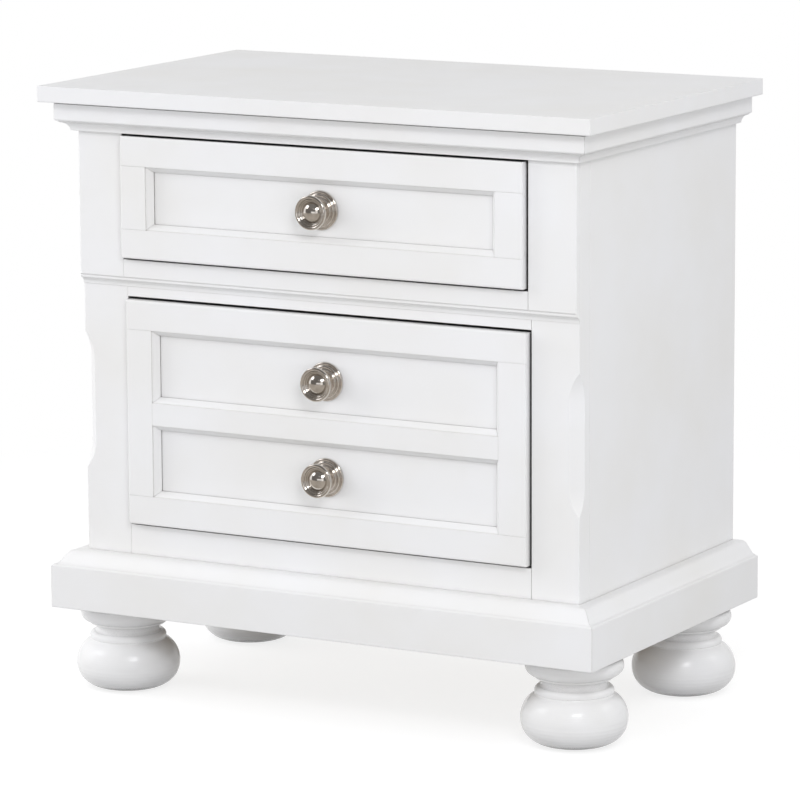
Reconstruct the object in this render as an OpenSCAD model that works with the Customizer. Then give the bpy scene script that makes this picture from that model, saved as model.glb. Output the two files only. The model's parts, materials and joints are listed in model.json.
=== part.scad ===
// Nightstand with two drawers on bun feet, in millimetres.
// X runs across the front, Y runs from the front to the back, Z is up from the floor.

/* [Overall] */
// Full width of the top board
top_width = 718; // [600:1:860]
// Full depth of the top board
top_depth = 446.3; // [380:0.1:560]
// Height from the floor to the top surface
total_height = 724; // [610:1:880]

/* [Top and crown] */
// Thickness of the top board
top_thick = 19; // [16:0.1:28]
// Reach of the top board past the crown at the sides
top_side_reach = 13.5; // [5:0.5:25]
// Reach of the top board past the crown at the front
top_front_reach = 13.7; // [5:0.2:25]
// How far the crown stands out from the case
crown_reach = 19.9; // [17:0.1:30]
// Height of the crown moulding
crown_height = 32.2; // [26:0.1:45]
// Shadow gap between the crown and the top board
crown_gap = 2; // [0.5:0.1:4]

/* [Case] */
// Width of each front post
post_width = 60.3; // [45:0.1:80]
// Thickness of the posts, front to back
post_thick = 25; // [20:0.5:35]
// Thickness of the facing on the upper part of each post
facing_thick = 8.4; // [6:0.1:14]
// Thickness of the side panels
side_thick = 18; // [12:0.5:22]
// Thickness of the back panel
back_thick = 6; // [4:0.5:9]
// Thickness of the bottom panel
floor_thick = 12; // [9:0.5:18]
// Height of the rail between the drawers
middle_rail_height = 44.9; // [36:0.1:60]
// Height of the bottom rail seen above the base
bottom_rail_show = 35.5; // [20:0.5:60]
// Height of the part of the middle rail that lies in the lower plane
rail_low_strip = 11.9; // [8:0.1:16]

/* [Scooped corner] */
// Width of the scooped chamfer on the post face
scoop_leg = 13; // [8:0.5:20]
// Length of the curved ends of the chamfer
scoop_end = 32; // [20:1:50]
// Distance from the waist moulding down to the chamfer
scoop_drop = 56; // [30:1:80]
// Distance from the base up to the chamfer
scoop_rise = 98; // [60:1:120]

/* [Base and feet] */
// Height of the feet
foot_height = 103.5; // [80:0.5:130]
// Height of the base boards with their moulding
base_height = 68; // [50:0.5:90]
// Reach of the base past the case
base_reach = 32.4; // [20:0.2:40]
// Height of the moulding on the base boards
ogee_height = 19; // [12:0.5:26]
// Largest radius of each foot
foot_radius = 61.5; // [45:0.5:70]
// Distance from the case side to the foot centre
foot_inset_x = 27.2; // [20:0.1:45]
// Distance from the case front to the foot centre
foot_inset_y = 41.7; // [30:0.1:70]
// Distance from the back to the back foot centres
foot_back_inset = 78; // [65:0.1:110]
// Radius of the turned tenon on top of each foot
tenon_radius = 14; // [8:0.5:18]
// Length of that tenon
tenon_length = 28; // [15:0.5:40]
// Size of the corner blocks
block_size = 96; // [70:1:110]

/* [Drawer fronts] */
// Height of the upper drawer front
upper_front_height = 142.6; // [110:0.1:180]
// Thickness of the drawer front frames
front_thick = 22; // [18:0.5:24]
// How far each drawer front stands proud of the case
front_proud = 9.6; // [4:0.1:13]
// Gap around the drawer fronts
front_gap = 2.6; // [1.5:0.1:4]
// Width of the frame members
frame_width = 34.4; // [25:0.2:50]
// Width of the middle rail of the lower front
frame_middle = 26.6; // [20:0.2:40]
// Width of the moulded edge around the panels
stick_width = 6.4; // [4:0.2:10]
// Depth of the panels behind the face
stick_depth = 10.4; // [5:0.2:11]
// Thickness of the flat panels
panel_thick = 6; // [4:0.2:8]
// Rounding of the outer edges of the fronts
front_round = 2.2; // [1:0.1:6]

/* [Drawer boxes] */
// Thickness of the drawer sides
box_side = 12; // [9:0.5:16]
// Thickness of the inner drawer fronts
box_front = 15; // [12:0.5:19]
// Thickness of the drawer bottoms
box_bottom = 5; // [3:0.5:8]
// Depth of the grooves for the drawer bottoms
groove_depth = 6; // [4:0.5:8]
// Height of the groove above the lower edge of the box
groove_height = 11; // [8:0.5:16]
// Distance from the lower edge of a front up to its box
box_rise = 12; // [6:1:20]
// Distance from the upper edge of the upper front down to its box
upper_box_drop = 33; // [20:1:60]
// Distance from the upper edge of the lower front down to its box
lower_box_drop = 45; // [20:1:80]
// Spacing wanted between the tails of the dovetails
tail_pitch = 26; // [18:1:36]
// Length of the tails on the drawer sides
tail_length = 11; // [7:0.5:13]
// Rounding of the top edges of the drawer sides
top_round = 2.5; // [1:0.5:5]
// Play in the wooden joints
joint_play = 0.1; // [0.05:0.05:0.3]

/* [Slides] */
// Height of the ball bearing slides
slide_height = 45; // [35:0.5:50]
// Thickness of the slides from the case to the drawer
slide_thick = 12.7; // [12:0.1:14]
// Thickness of the slide steel
slide_sheet = 1.2; // [1:0.1:1.5]
// Diameter of the slide balls
ball_size = 4; // [3:0.1:5]
// Play between the balls and their tracks
ball_play = 0.3; // [0.2:0.05:0.5]
// Number of balls in each row of a cage
cage_balls = 5; // [4:1:8]
// Thickness of the strip of the cages
cage_sheet = 0.6; // [0.4:0.05:0.7]
// Thickness of the arms that hold the balls
cage_arm = 1; // [0.6:0.1:1.4]

/* [Knobs] */
// Radius of the knob heads
knob_radius = 19.6; // [14:0.2:24]
// Radius of the ringed plates behind the knobs
plate_radius = 22.8; // [17:0.2:28]
// Reach of the knobs from the drawer panel
knob_reach = 27.4; // [22:0.2:38]

/* [Hidden] */
$fn = 72;

// Faces of the case, from the sizes above
case_half = top_width / 2 - top_side_reach - crown_reach;
open_half = case_half - post_width;
y_front = -top_depth / 2;
y_back = top_depth / 2;
y_upper = y_front + top_front_reach + crown_reach;
y_lower = y_upper + facing_thick;
y_side = y_lower + post_thick;
y_panel = y_back - 1 - back_thick;
z_case = total_height - top_thick;
z_crown_top = z_case - crown_gap;
z_crown = z_crown_top - crown_height;
z_base = foot_height + base_height;
z_low_open = z_base + bottom_rail_show;
z_blocks = foot_height + 40;
z_upper_front = z_crown - front_gap - upper_front_height;
z_rail_top = z_upper_front - front_gap;
z_rail = z_rail_top - middle_rail_height;
z_waist = z_rail + rail_low_strip;
waist_rise = 12;
z_lower_front = z_low_open + front_gap;
lower_front_height = z_rail - front_gap - z_lower_front;
front_half = open_half - front_gap;
in_half = case_half - side_thick;
z_floor = z_low_open - 8;

// Drawer boxes and slides
box_half = open_half - slide_thick;
slide_room = y_panel - (y_lower - front_proud + front_thick) - 15;
slide_length = 50 * floor(slide_room / 50);
slide_start = 10;
upper_box_y = y_upper - front_proud + front_thick;
lower_box_y = y_lower - front_proud + front_thick;
upper_box_z = z_upper_front + box_rise;
lower_box_z = z_lower_front + box_rise;
upper_box_height = upper_front_height - box_rise - upper_box_drop;
lower_box_height = lower_front_height - box_rise - lower_box_drop;
upper_tails = round(upper_box_height / tail_pitch);
lower_tails = round(lower_box_height / tail_pitch);
upper_slide_z = upper_box_z + upper_box_height / 2;
lower_slide_z = lower_box_z + lower_box_height / 2;
cage_start = slide_length * 0.28;
cage_length = slide_length * 0.43;
cage_end = 8;

// Foot centres
foot_x = case_half - foot_inset_x;
foot_front_y = y_lower + foot_inset_y;
foot_back_y = y_back - foot_back_inset;

white_paint = [0.92, 0.92, 0.93];
raw_wood = [0.82, 0.71, 0.55];
ply = [0.86, 0.78, 0.64];
zinc = [0.72, 0.73, 0.75];
nickel = [0.66, 0.63, 0.59];

// Points on an arc, both ends included
function arc(cx, cy, r, a, b, n = 8) =
    [for (i = [0:n]) [cx + r * cos(a + (b - a) * i / n), cy + r * sin(a + (b - a) * i / n)]];

// Points on a rising or falling wave between two levels
function wave(x0, y0, x1, y1, n = 10) =
    [for (i = [0:n]) [x0 + (x1 - x0) * i / n, y0 + (y1 - y0) * (1 - cos(180 * i / n)) / 2]];

// Outline in Y and Z drawn out along X
module along_x(x0, x1) {
    translate([x0, 0, 0])
        rotate([90, 0, 90])
            linear_extrude(x1 - x0)
                children();
}

// Outline in X and Z drawn out along Y
module along_y(y0, y1) {
    translate([0, y1, 0])
        rotate([90, 0, 0])
            linear_extrude(y1 - y0)
                children();
}

// Outline in X and Y drawn out along Z
module along_z(z0, z1) {
    translate([0, 0, z0])
        linear_extrude(z1 - z0)
            children();
}

// A block given by its two far corners
module block(a, b) {
    translate(a)
        cube(b - a);
}

// The same shape on the left when s is negative
module flip(s) {
    if (s < 0) {
        mirror([1, 0, 0])
            children();
    } else {
        children();
    }
}

// Edge of the top board from its upper to its lower face, measured inwards from its reach
function slab_edge() = concat(
    [[-5, total_height]],
    arc(-0.8, total_height - 0.8, 0.8, 90, 0, 4),
    arc(-1.5, z_case + 1.5, 1.5, 0, -90, 5),
    [[-20, z_case]]);

module top_panel() {
    e = slab_edge();
    n = len(e);
    h = top_width / 2;
    color(white_paint)
        intersection() {
            along_y(y_front, y_back)
                polygon(concat(
                    [for (p = e) [h + p[0], p[1]]],
                    [for (i = [n - 1:-1:0]) [-h - e[i][0], e[i][1]]]));
            along_x(-h, h)
                polygon(concat(
                    [for (p = e) [y_front - p[0], p[1]]],
                    [[y_back, z_case], [y_back, total_height]]));
        }
}

// Crown section, measured out from the case face
function crown_section() = concat(
    [[0, z_crown_top], [0, z_crown], [crown_reach - 13.8, z_crown]],
    arc(crown_reach - 3.4, z_crown - 0.4, 10.4, 178, 97, 8),
    [[crown_reach - 4.7, z_crown + 10.6], [crown_reach - 3.4, z_crown + 10.6]],
    [[crown_reach - 3.4, z_crown + 11.8]],
    arc(crown_reach - 2.4, z_crown + 14.2, 2.4, -90, 0, 5),
    arc(crown_reach - 0.8, z_crown_top - 0.8, 0.8, 0, 90, 3));

module crown_front() {
    color(white_paint)
        difference() {
            along_x(-case_half - crown_reach, case_half + crown_reach)
                polygon([for (p = crown_section()) [y_upper - p[0], p[1]]]);
            for (s = [-1, 1]) {
                flip(s)
                    translate([case_half - joint_play / 2, y_upper, 0])
                        rotate([0, 0, 45])
                            translate([0, -60, z_crown - 5])
                                cube([60, 120, crown_height + 10]);
            }
        }
}

module crown_side(s) {
    color(white_paint)
        flip(s)
            difference() {
                along_y(y_upper - crown_reach, y_back)
                    polygon([for (p = crown_section()) [case_half + p[0], p[1]]]);
                translate([case_half + joint_play / 2, y_upper, 0])
                    rotate([0, 0, 45])
                        translate([-60, -60, z_crown - 5])
                            cube([60, 120, crown_height + 10]);
            }
}

module crown_left() {
    crown_side(-1);
}

module crown_right() {
    crown_side(1);
}

// Depth of the scooped chamfer along its curved end, from 0 at the tip to 1 at the flat
function scoop_depth(t) = 1 - pow(1 - t, 2);

// Scooped chamfer cut: depth across the corner against height, drawn out across the corner
module scoop_cut() {
    bottom = z_base + scoop_rise;
    top = z_waist - scoop_drop;
    deep = scoop_leg / sqrt(2);
    run = min(scoop_end, (top - bottom) / 2);
    path = concat(
        [for (i = [0:14]) [-deep * scoop_depth(i / 14), bottom + run * i / 14]],
        [for (i = [14:-1:0]) [-deep * scoop_depth(i / 14), top - run * i / 14]],
        [[20, top], [20, bottom]]);
    translate([case_half, y_lower, 0])
        rotate([0, 0, -45])
            translate([0, 20, 0])
                rotate([90, 0, 0])
                    linear_extrude(40)
                        polygon(path);
}

// Tongue on the side panel and the groove for it in the post
tongue_deep = 7;
tongue_wide = 6;

module post(s) {
    color(white_paint)
        flip(s)
            difference() {
                along_z(foot_height, z_case)
                    polygon(concat(
                        [[open_half, y_side]],
                        arc(open_half + 0.8, y_lower + 0.8, 0.8, 180, 270, 3),
                        arc(case_half - 1.2, y_lower + 1.2, 1.2, 270, 360, 4),
                        arc(case_half - 0.5, y_side - 0.5, 0.5, 0, 90, 2)));
                scoop_cut();
                // Groove for the tongue of the side panel
                block([in_half + 6 - joint_play, y_side - tongue_deep - joint_play, z_blocks - joint_play],
                    [in_half + 6 + tongue_wide + joint_play, y_side + 1, z_case + 1]);
                // Mortises for the rail tenons
                for (z = rail_levels()) {
                    block([open_half - 1, y_lower + 8 - joint_play, z[0] - joint_play],
                        [open_half + 20 + joint_play, y_lower + 16 + joint_play, z[1] + joint_play]);
                }
            }
}

// Lower and upper level of each rail tenon
function rail_levels() = [
    [z_crown + 6, z_case - 6],
    [z_rail + 6, z_rail_top - 6],
    [foot_height + 40, z_low_open - 6]];

module left_post() {
    post(-1);
}

module right_post() {
    post(1);
}

// Waist section from the upper plane down to the lower plane, in Y and Z
function waist_section(y_in) = let (cove = min(facing_thick - 1.2, 7.6)) concat(
    [[y_in, z_waist], [y_lower - 0.6, z_waist]],
    [[y_lower - 0.6, z_waist + 0.3]],
    arc(y_lower - 0.6 - cove, z_waist + 0.6, cove, 2, 78, 7),
    [[y_upper + 1.6, z_waist + waist_rise - 3.4], [y_upper + 1.6, z_waist + waist_rise - 0.6]],
    [[y_upper + 0.6, z_waist + waist_rise - 0.4], [y_upper, z_waist + waist_rise + 0.6]]);

module post_facing(s) {
    color(white_paint)
        flip(s)
            intersection() {
                along_x(open_half, case_half)
                    polygon(concat(
                        waist_section(y_lower),
                        [[y_upper, z_crown_top], [y_lower, z_crown_top]]));
                along_z(z_waist - 1, z_crown_top + 1)
                    polygon(concat(
                        arc(open_half + 0.8, y_upper + 0.8, 0.8, 180, 270, 3),
                        arc(case_half - 2, y_upper + 2, 2, 270, 360, 4),
                        arc(case_half - 0.7, y_lower - 0.7, 0.7, 0, 90, 2),
                        [[open_half, y_lower]]));
            }
}

module left_post_facing() {
    post_facing(-1);
}

module right_post_facing() {
    post_facing(1);
}

// Tenons on both ends of a rail
module rail_tenons(level) {
    for (s = [-1, 1]) {
        flip(s)
            block([open_half - 1, y_lower + 8, level[0]], [open_half + 20, y_lower + 16, level[1]]);
    }
}

module top_rail() {
    color(white_paint)
        union() {
            block([-open_half, y_upper, z_crown], [open_half, y_side, z_case]);
            rail_tenons(rail_levels()[0]);
        }
}

module middle_rail() {
    color(white_paint)
        union() {
            along_x(-open_half, open_half)
                polygon(concat(
                    [[y_side, z_rail]],
                    arc(y_lower + 0.8, z_rail + 0.8, 0.8, 270, 180, 3),
                    [[y_lower, z_waist]],
                    [for (i = [1:len(waist_section(y_lower)) - 1]) waist_section(y_lower)[i]],
                    arc(y_upper + 1, z_rail_top - 1, 1, 180, 90, 3),
                    [[y_side, z_rail_top]]));
            rail_tenons(rail_levels()[1]);
        }
}

module bottom_rail() {
    color(white_paint)
        union() {
            along_x(-open_half, open_half)
                polygon(concat(
                    [[y_side, foot_height + 34], [y_lower, foot_height + 34]],
                    arc(y_lower + 0.8, z_low_open - 0.8, 0.8, 180, 90, 3),
                    [[y_side, z_low_open]]));
            rail_tenons(rail_levels()[2]);
        }
}

module side_panel(s) {
    color(white_paint)
        flip(s)
            difference() {
                union() {
                    along_z(z_blocks, z_case)
                        polygon(concat(
                            [[in_half, y_side], [case_half - 0.5, y_side]],
                            [[case_half, y_side + 0.5], [case_half, y_back - 1]],
                            [[case_half - 1, y_back], [in_half, y_back]]));
                    block([in_half + 6, y_side - tongue_deep, z_blocks],
                        [in_half + 6 + tongue_wide, y_side + 1, z_case]);
                }
                // Rebate for the back panel
                block([in_half - 1, y_panel - joint_play, foot_height - 1],
                    [in_half + 8 + joint_play, y_back + 1, z_case + 1]);
                // Housing for the bottom panel
                block([in_half - 1, y_side + 12, z_floor - floor_thick - joint_play],
                    [in_half + 6 + joint_play, y_back, z_floor + joint_play]);
            }
}

module left_side_panel() {
    side_panel(-1);
}

module right_side_panel() {
    side_panel(1);
}

module back_panel() {
    color(white_paint)
        block([-in_half - 8, y_panel, z_blocks], [in_half + 8, y_panel + back_thick, z_case]);
}

module back_top_rail() {
    color(raw_wood)
        block([-in_half, y_panel - 22, z_case - 60], [in_half, y_panel, z_case]);
}

module bottom_panel() {
    color(ply)
        union() {
            block([-in_half, y_side, z_floor - floor_thick], [in_half, y_panel, z_floor]);
            block([-in_half - 6, y_side + 12.5, z_floor - floor_thick], [in_half + 6, y_panel, z_floor]);
        }
}

// Battens that bring the slides in line with the posts
module slide_battens() {
    color(raw_wood)
        for (s = [-1, 1], z = [upper_slide_z, lower_slide_z]) {
            flip(s)
                block([open_half, y_side, z - 32], [in_half, y_side + slide_length - 10, z + 32]);
        }
}

// Base section, measured out from the case face
function base_section() = concat(
    [[0, foot_height], [0, z_base]],
    [[base_reach - 20.5, z_base]],
    wave(base_reach - 19.6, z_base - 0.3, base_reach - 2.8, z_base - ogee_height + 3, 12),
    [[base_reach - 1.9, z_base - ogee_height + 3]],
    arc(base_reach - 1.6, z_base - ogee_height + 0.9, 1.6, 80, 0, 4),
    arc(base_reach - 1, foot_height + 1, 1, 0, -90, 3));

module base_front() {
    color(white_paint)
        difference() {
            along_x(-case_half - base_reach, case_half + base_reach)
                polygon([for (p = base_section()) [y_lower - p[0], p[1]]]);
            for (s = [-1, 1]) {
                flip(s)
                    translate([case_half - joint_play / 2, y_lower, 0])
                        rotate([0, 0, 45])
                            translate([0, -60, foot_height - 5])
                                cube([60, 120, base_height + 10]);
            }
        }
}

module base_side(s) {
    color(white_paint)
        flip(s)
            difference() {
                along_y(y_lower - base_reach, y_back)
                    polygon([for (p = base_section()) [case_half + p[0], p[1]]]);
                translate([case_half + joint_play / 2, y_lower, 0])
                    rotate([0, 0, 45])
                        translate([-60, -60, foot_height - 5])
                            cube([60, 120, base_height + 10]);
            }
}

module base_left() {
    base_side(-1);
}

module base_right() {
    base_side(1);
}

// Rail behind the base that carries the back corner blocks
module base_back() {
    color(raw_wood)
        union() {
            block([-case_half, y_panel - 20, foot_height], [case_half, y_back - 1, z_blocks]);
            block([-in_half, y_panel - 20, z_blocks - 1], [in_half, y_panel, z_blocks + 22]);
        }
}

// Corner blocks bored for the foot tenons
module corner_blocks() {
    color(raw_wood)
        for (s = [-1, 1], f = [0, 1]) {
            y0 = f == 0 ? y_side : y_panel - 20 - block_size;
            flip(s)
                difference() {
                    block([case_half - block_size, y0, foot_height],
                        [case_half, y0 + block_size, z_blocks]);
                    translate([foot_x, f == 0 ? foot_front_y : foot_back_y, foot_height - 1])
                        cylinder(r = tenon_radius + joint_play, h = tenon_length + 2);
                }
        }
}

// Points on a swelling curve from the radius r0 at the level z0 (angle 0) to r1 at z1 (angle 90)
function swell(r0, z0, r1, z1, power, a, b, n) =
    [for (i = [0:n])
        let (t = a + (b - a) * i / n)
            [r0 + (r1 - r0) * sin(t), z1 + (z0 - z1) * pow(cos(t), 2 / power)]];

// Turned foot: radius against height, from the floor to the top of the tenon.
// A ball, a bead, a hollow neck, a fillet and a ring under the base board
function foot_section() = let (
    h = foot_height,
    r = foot_radius,
    widest = h * 0.311,
    neck = h * 0.696) concat(
    [[0, 0]],
    swell(r - 34.2, 0, r, widest, 2.3, 0, 90, 12),
    swell(r - 23.1, h * 0.58, r, widest, 1.8, 84, 18, 11),
    [[r - 16.6, h * 0.576], [r - 16.6, h * 0.583], [r - 16.2, h * 0.586]],
    arc(r - 21.5, h * 0.605, h * 0.053, 5, 70, 6),
    swell(r - 20, h * 0.656, r - 24.6, neck, 2, 12, 90, 6),
    swell(r - 17.3, h * 0.752, r - 24.6, neck, 2, 80, 0, 6),
    [[r - 16.7, h * 0.755], [r - 16.6, h * 0.776]],
    arc(r - 16.5, h * 0.889, h * 0.11, -83, 84, 14),
    [[r - 15.6, h]],
    [[tenon_radius, h], [tenon_radius, h + tenon_length - 1], [tenon_radius - 1, h + tenon_length]],
    [[0, h + tenon_length]]);

module foot(x, y) {
    color(white_paint)
        translate([x, y, 0])
            rotate_extrude($fn = 96)
                polygon(foot_section());
}

module front_left_foot() {
    foot(-foot_x, foot_front_y);
}

module front_right_foot() {
    foot(foot_x, foot_front_y);
}

module back_left_foot() {
    foot(-foot_x, foot_back_y);
}

module back_right_foot() {
    foot(foot_x, foot_back_y);
}

// Levels in a slide, measured from its middle height to the tracks
track_out = slide_height / 2 - slide_sheet;
ball_out = track_out - ball_play - ball_size / 2;
middle_out = ball_out - ball_play - ball_size / 2;
track_in = middle_out - slide_sheet;
ball_in = track_in - ball_play - ball_size / 2;
drawer_out = ball_in - ball_play - ball_size / 2;

// Upright channel: a is the distance from the case side, h its half height, lips point inwards
module channel(a0, a1, h, lip, y0, y1) {
    w = slide_sheet;
    block([open_half - a0 - w, y0, -h], [open_half - a0, y1, h]);
    for (m = [0, 1]) {
        mirror([0, 0, m]) {
            block([open_half - a1, y0, h - w], [open_half - a0, y1, h]);
            if (lip > 0) {
                block([open_half - a1, y0, h - w - lip], [open_half - a1 + w, y1, h - w]);
            }
        }
    }
}

module cabinet_slides(y0, z) {
    color(zinc)
        for (s = [-1, 1]) {
            flip(s)
                translate([0, 0, z]) {
                    channel(0, 9.6, slide_height / 2, 1.4, y0, y0 + slide_length);
                    // Stop at the closed end
                    block([open_half - 10.5, y0 + slide_length + 0.3, -7],
                        [open_half, y0 + slide_length + 1.5, 7]);
                    block([open_half - slide_sheet, y0 + slide_length - 1, -7],
                        [open_half, y0 + slide_length + 1.5, 7]);
                }
        }
}

module middle_slides(y0, z) {
    color(zinc)
        for (s = [-1, 1]) {
            flip(s)
                translate([0, 0, z])
                    channel(2.4, 10.4, middle_out, 1.4, y0, y0 + slide_length);
        }
}

module drawer_slides(y0, z) {
    w = slide_sheet;
    color(zinc)
        for (s = [-1, 1]) {
            flip(s)
                translate([0, 0, z]) {
                    block([open_half - slide_thick, y0, -drawer_out],
                        [open_half - slide_thick + w, y0 + slide_length, drawer_out]);
                    for (m = [0, 1]) {
                        mirror([0, 0, m])
                            block([open_half - slide_thick, y0, drawer_out - w],
                                [open_half - 5.2, y0 + slide_length, drawer_out]);
                    }
                }
        }
}

// Ball cage: a thin strip behind the channel, arms above and below, and two rows of balls
module cages(y0, z, a_web, a_ball, level) {
    step = (cage_length - 2 * cage_end) / (cage_balls - 1);
    color(zinc)
        for (s = [-1, 1]) {
            flip(s)
                translate([0, 0, z]) {
                    block([open_half - a_web - cage_sheet, y0, -level - cage_arm / 2],
                        [open_half - a_web, y0 + cage_length, level + cage_arm / 2]);
                    for (m = [0, 1]) {
                        mirror([0, 0, m]) {
                            block([open_half - a_ball - 1.4, y0, level - cage_arm / 2],
                                [open_half - a_web, y0 + cage_length, level + cage_arm / 2]);
                            for (i = [0:cage_balls - 1]) {
                                translate([open_half - a_ball, y0 + cage_end + i * step, level])
                                    sphere(d = ball_size, $fn = 20);
                            }
                        }
                    }
                }
        }
}

upper_slide_y = upper_box_y + slide_start;
lower_slide_y = lower_box_y + slide_start;

module upper_cabinet_slides() {
    cabinet_slides(upper_slide_y, upper_slide_z);
}

module upper_middle_slides() {
    middle_slides(upper_slide_y, upper_slide_z);
}

module upper_drawer_slides() {
    drawer_slides(upper_slide_y, upper_slide_z);
}

module upper_outer_cages() {
    cages(upper_slide_y + cage_start, upper_slide_z, 1.5, 5.4, ball_out);
}

module upper_inner_cages() {
    cages(upper_slide_y + cage_start, upper_slide_z, 3.9, 6.9, ball_in);
}

module lower_cabinet_slides() {
    cabinet_slides(lower_slide_y, lower_slide_z);
}

module lower_middle_slides() {
    middle_slides(lower_slide_y, lower_slide_z);
}

module lower_drawer_slides() {
    drawer_slides(lower_slide_y, lower_slide_z);
}

module lower_outer_cages() {
    cages(lower_slide_y + cage_start, lower_slide_z, 1.5, 5.4, ball_out);
}

module lower_inner_cages() {
    cages(lower_slide_y + cage_start, lower_slide_z, 3.9, 6.9, ball_in);
}

// Rounded block that trims the outer edges of a drawer front
module front_envelope(y0, z0, z1) {
    r = front_round;
    intersection() {
        along_z(z0, z1)
            polygon(concat(
                [[front_half, y0 + front_thick], [-front_half, y0 + front_thick]],
                arc(-front_half + r, y0 + r, r, 180, 270, 6),
                arc(front_half - r, y0 + r, r, 270, 360, 6)));
        along_x(-front_half, front_half)
            polygon(concat(
                [[y0 + front_thick, z0], [y0 + front_thick, z1]],
                arc(y0 + r, z1 - r, r, 90, 180, 6),
                arc(y0 + r, z0 + r, r, 180, 270, 6)));
    }
}

// Moulded edge of a frame member: width inwards from its face edge against depth from the face
function stick_section(g) = let (quirk = 0.8, nose = stick_depth - quirk - 0.6) concat(
    [[g, 0], [g, 1.1], [0.7 + g, 1.1]],
    [for (t = [0:0.2:1]) [0.9 + g + (stick_width - 0.9) * t, 1.6 + (nose - 1.6) * pow(t, 1.3)]],
    [[stick_width + g, stick_depth - quirk + g],
        [stick_width - quirk + g, stick_depth - quirk + g],
        [stick_width - quirk + g, stick_depth + g],
        [-2.4 + g, stick_depth + g],
        [-2.4 + g, stick_depth + panel_thick + 0.4 - g],
        [stick_width + g, stick_depth + panel_thick + 0.4 - g],
        [stick_width + g, front_thick + g]]);

// Rail of a drawer front with its moulded edge on one side (d = 1 up, -1 down)
function rail_section(y0, z_edge, z_out, d, g = 0) = concat(
    [for (p = stick_section(g)) [y0 + p[1], z_edge + d * p[0]]],
    [[y0 + front_thick + g, z_out], [y0, z_out]]);

module front_rail(y0, z0, z1, z_edge, z_out, d) {
    color(white_paint)
        intersection() {
            along_x(-front_half, front_half)
                polygon(rail_section(y0, z_edge, z_out, d));
            front_envelope(y0, z0, z1);
        }
}

// Stile between two rails, coped over their moulded edges
module front_stile(s, y0, z0, z1, z_low, z_high) {
    edge = front_half - frame_width;
    tail = stick_depth + 0.2;
    color(white_paint)
        flip(s)
            intersection() {
                union() {
                    difference() {
                        along_z(z_low + joint_play, z_high - joint_play)
                            polygon(concat(
                                [for (p = stick_section(0)) [edge - p[0], y0 + p[1]]],
                                [[front_half, y0 + front_thick], [front_half, y0]]));
                        along_x(-front_half - 1, front_half + 1)
                            polygon(rail_section(y0, z_low, z_low - 20, 1, joint_play));
                        along_x(-front_half - 1, front_half + 1)
                            polygon(rail_section(y0, z_high, z_high + 20, -1, joint_play));
                        children();
                    }
                    // Tongues in the rail grooves
                    for (t = [[z_low, 1], [z_high, -1]]) {
                        along_x(edge + 2.2, front_half)
                            polygon([
                                [y0 + tail, t[0] - 2.1 * t[1]],
                                [y0 + tail + panel_thick, t[0] - 2.1 * t[1]],
                                [y0 + tail + panel_thick, t[0] + (stick_width + 0.4) * t[1]],
                                [y0 + tail, t[0] + (stick_width + 0.4) * t[1]]]);
                    }
                }
                front_envelope(y0, z0, z1);
            }
}

module front_panel(y0, z_low, z_high) {
    edge = front_half - frame_width;
    color(white_paint)
        block([-edge - 1.9, y0 + stick_depth, z_low - 1.9],
            [edge + 1.9, y0 + stick_depth + panel_thick, z_high + 1.9]);
}

// Levels of the frame members
uf_y = y_upper - front_proud;
lf_y = y_lower - front_proud;
uf_z0 = z_upper_front;
uf_z1 = z_upper_front + upper_front_height;
lf_z0 = z_lower_front;
lf_z1 = z_lower_front + lower_front_height;
lf_mid = (lf_z0 + lf_z1) / 2;

module upper_front_top_rail() {
    front_rail(uf_y, uf_z0, uf_z1, uf_z1 - frame_width, uf_z1, -1);
}

module upper_front_bottom_rail() {
    front_rail(uf_y, uf_z0, uf_z1, uf_z0 + frame_width, uf_z0, 1);
}

module upper_front_left_stile() {
    front_stile(-1, uf_y, uf_z0, uf_z1, uf_z0 + frame_width, uf_z1 - frame_width);
}

module upper_front_right_stile() {
    front_stile(1, uf_y, uf_z0, uf_z1, uf_z0 + frame_width, uf_z1 - frame_width);
}

module upper_front_panel() {
    front_panel(uf_y, uf_z0 + frame_width, uf_z1 - frame_width);
}

module lower_front_top_rail() {
    front_rail(lf_y, lf_z0, lf_z1, lf_z1 - frame_width, lf_z1, -1);
}

module lower_front_bottom_rail() {
    front_rail(lf_y, lf_z0, lf_z1, lf_z0 + frame_width, lf_z0, 1);
}

// Middle rail, moulded above and below and coped over the stiles
module lower_front_middle_rail() {
    edge = front_half - frame_width;
    up = [for (p = stick_section(0)) [lf_y + p[1], lf_mid + frame_middle / 2 + p[0]]];
    n = len(up);
    down = [for (i = [n - 1:-1:0]) [up[i][0], 2 * lf_mid - up[i][1]]];
    tail = stick_depth + 0.2;
    color(white_paint)
        union() {
            difference() {
                along_x(-edge + joint_play, edge - joint_play)
                    polygon(concat(up, down));
                for (s = [-1, 1]) {
                    flip(s)
                        along_z(lf_mid - 40, lf_mid + 40)
                            polygon(concat(
                                [for (p = stick_section(joint_play)) [edge - p[0], lf_y + p[1]]],
                                [[edge + 5, lf_y + front_thick + joint_play], [edge + 5, lf_y]]));
                }
            }
            for (s = [-1, 1]) {
                flip(s)
                    block([edge - stick_width - 1, lf_y + tail, lf_mid - frame_middle / 2 + 2.6],
                        [edge + 2.1, lf_y + tail + panel_thick, lf_mid + frame_middle / 2 - 2.6]);
            }
        }
}

module lower_front_left_stile() {
    front_stile(-1, lf_y, lf_z0, lf_z1, lf_z0 + frame_width, lf_z1 - frame_width);
}

module lower_front_right_stile() {
    front_stile(1, lf_y, lf_z0, lf_z1, lf_z0 + frame_width, lf_z1 - frame_width);
}

module lower_front_panels() {
    front_panel(lf_y, lf_z0 + frame_width, lf_mid - frame_middle / 2);
    front_panel(lf_y, lf_mid + frame_middle / 2, lf_z1 - frame_width);
}

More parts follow.
